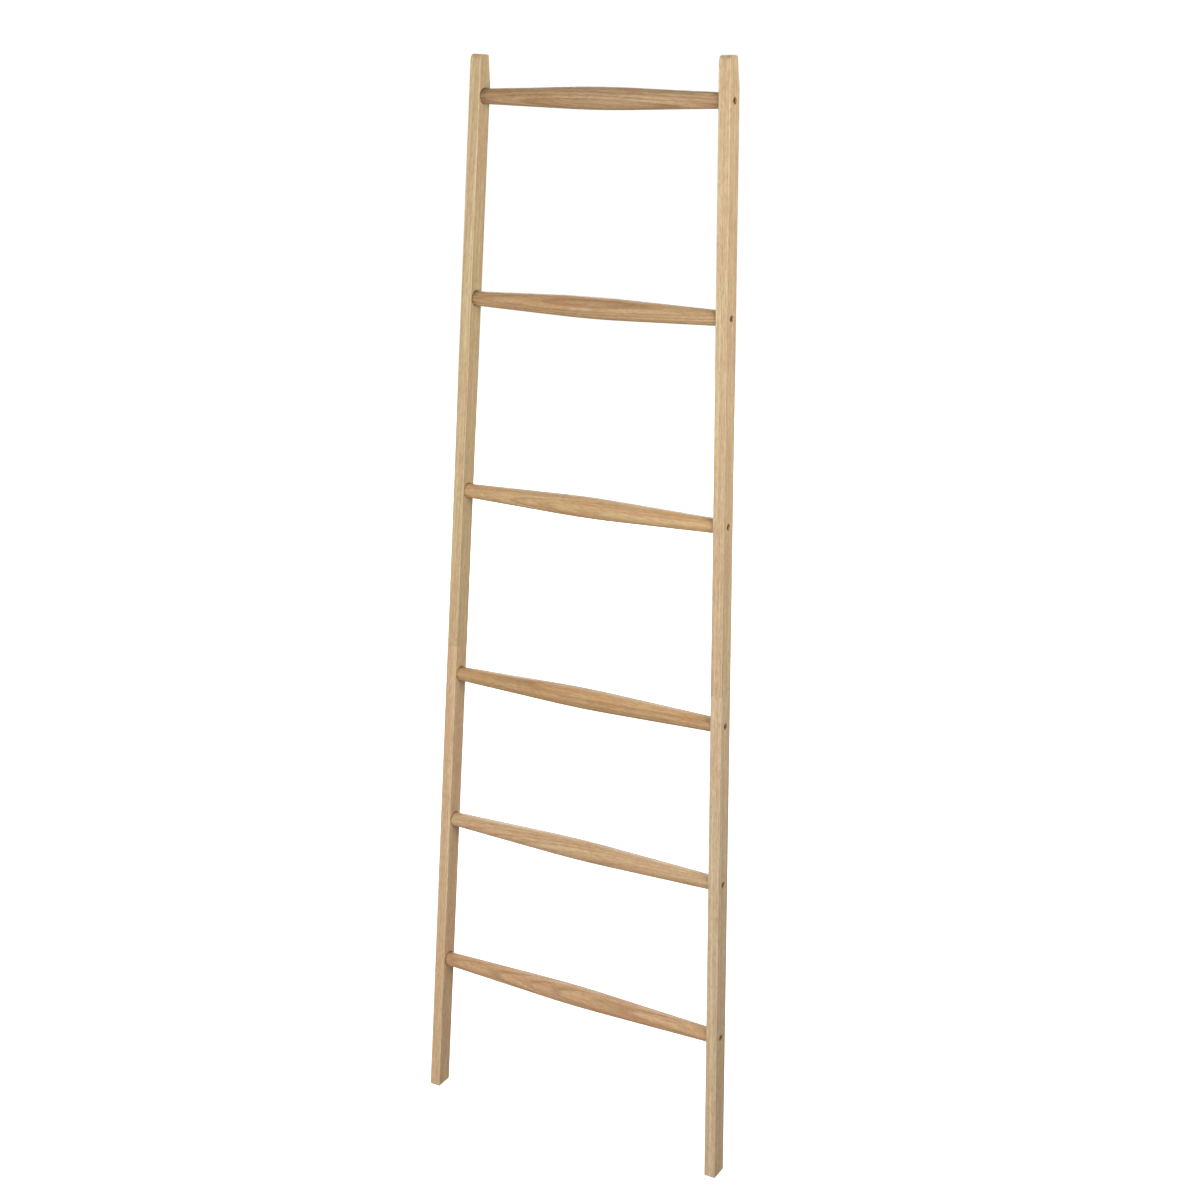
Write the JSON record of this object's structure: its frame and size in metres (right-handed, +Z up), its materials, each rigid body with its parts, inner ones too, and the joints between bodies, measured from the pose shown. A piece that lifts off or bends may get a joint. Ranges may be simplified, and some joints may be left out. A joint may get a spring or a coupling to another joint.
{
  "type": "leaning ladder rack",
  "caption": "Tall wooden ladder rack that leans on a wall: tapering square-edged stiles jointed halfway, with turned rungs thicker in the middle, for towels or blankets.",
  "frame": {"origin": "centre of the footprint of the leaning ladder, on the floor", "axes": "+Z up; +Y from the front towards the wall that it leans on; +X along the rungs, to the right when seen from the front"},
  "size_m": [0.586, 0.304, 1.7768],
  "materials": {
    "upper_stile_wood": "oiled light tan hardwood, fine straight grain",
    "lower_stile_wood": "oiled light tan hardwood, slightly browner",
    "rung_wood": "oiled mid-brown hardwood, turned, grain lengthwise",
    "screw_steel": "bronze-coloured zinc plating",
    "bolt_steel": "zinc-plated steel",
    "insert_brass": "plain brass"
  },
  "bodies": {
    "root": {"joint_bolt_left": "bolt_steel", "joint_bolt_right": "bolt_steel", "joint_insert_left": "insert_brass", "joint_insert_right": "insert_brass", "rung_1": "rung_wood", "rung_1_screw_left": "screw_steel", "rung_1_screw_right": "screw_steel", "rung_2": "rung_wood", "rung_2_screw_left": "screw_steel", "rung_2_screw_right": "screw_steel", "rung_3": "rung_wood", "rung_3_screw_left": "screw_steel", "rung_3_screw_right": "screw_steel", "rung_4": "rung_wood", "rung_4_screw_left": "screw_steel", "rung_4_screw_right": "screw_steel", "rung_5": "rung_wood", "rung_5_screw_left": "screw_steel", "rung_5_screw_right": "screw_steel", "rung_6": "rung_wood", "rung_6_screw_left": "screw_steel", "rung_6_screw_right": "screw_steel", "stile_left_lower": "lower_stile_wood", "stile_left_upper": "upper_stile_wood", "stile_right_lower": "lower_stile_wood", "stile_right_upper": "upper_stile_wood"}
  },
  "joints": []
}
